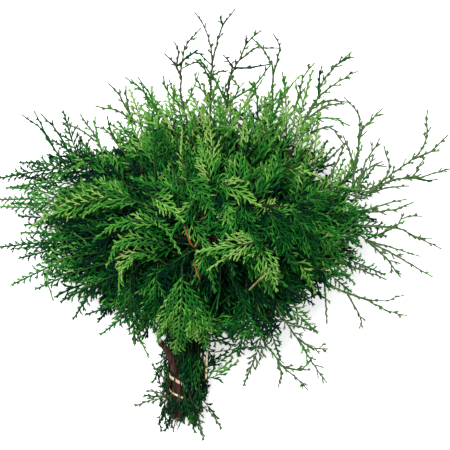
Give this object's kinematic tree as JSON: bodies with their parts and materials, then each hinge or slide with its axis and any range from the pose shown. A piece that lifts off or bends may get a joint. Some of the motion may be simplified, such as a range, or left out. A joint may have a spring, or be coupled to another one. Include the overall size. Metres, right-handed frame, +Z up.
{
  "type": "tied bunch of cut thuja",
  "caption": "Bunch of cut thuja greenery lying down: bare stems in a slanting raffia tie, fanning out into a broad, uneven crown of flat sprays.",
  "frame": {"origin": "on the surface that the bunch lies on, under the middle of its box", "axes": "+Z up from the surface; -Y towards the cut ends of the stems; +X to the right for a viewer who looks straight down with the crown at the top"},
  "size_m": [0.453, 0.4346, 0.1599],
  "materials": {
    "bark": "reddish-brown bark, matt",
    "foliage_under": "dark scale leaves, matt",
    "foliage_middle": "mid-green scale leaves, matt",
    "foliage_top": "bright green scale leaves, slightly waxy",
    "foliage_tip": "yellow-green young tips, slightly waxy",
    "raffia": "dry raffia, fibrous"
  },
  "bodies": {
    "root": {"foot_sprig": "foliage_tip", "foot_tuft_left": "foliage_tip", "foot_tuft_low_left": "foliage_tip", "foot_tuft_lowest": "foliage_tip", "foot_tuft_right": "foliage_tip", "leading_shoot_01": "foliage_tip", "leading_shoot_02": "foliage_tip", "leading_shoot_03": "foliage_tip", "leading_shoot_04": "foliage_tip", "leading_shoot_05": "foliage_tip", "leading_shoot_06": "foliage_tip", "leading_shoot_07": "foliage_tip", "leading_shoot_08": "foliage_tip", "leading_shoot_09": "foliage_tip", "leading_shoot_10": "foliage_tip", "leading_shoot_11": "foliage_tip", "leading_shoot_12": "foliage_tip", "leading_shoot_13": "foliage_tip", "leading_shoot_14": "foliage_tip", "main_stem": "bark", "middle_mass_01": "foliage_middle", "middle_mass_02": "foliage_middle", "middle_mass_03": "foliage_middle", "middle_mass_04": "foliage_middle", "middle_mass_05": "foliage_middle", "middle_mass_06": "foliage_middle", "middle_mass_07": "foliage_middle", "middle_mass_08": "foliage_middle", "stem_01": "bark", "stem_02": "bark", "stem_03": "bark", "stem_04": "bark", "stem_05": "bark", "stem_06": "bark", "stem_07": "bark", "stem_08": "bark", "tie_band": "raffia", "tie_knot": "raffia", "tie_tail": "raffia", "top_mass_01": "foliage_top", "top_mass_02": "foliage_top", "top_mass_03": "foliage_top", "top_mass_04": "foliage_top", "top_mass_05": "foliage_top", "top_mass_06": "foliage_top", "top_mass_07": "foliage_top", "top_mass_08": "foliage_top", "top_mass_09": "foliage_top", "top_mass_10": "foliage_top", "top_mass_11": "foliage_top", "under_mass_01": "foliage_under", "under_mass_02": "foliage_under", "under_mass_03": "foliage_under", "under_mass_04": "foliage_under", "under_mass_05": "foliage_under", "under_mass_06": "foliage_under", "under_mass_07": "foliage_under", "under_mass_08": "foliage_under", "under_mass_09": "foliage_under"}
  },
  "joints": []
}
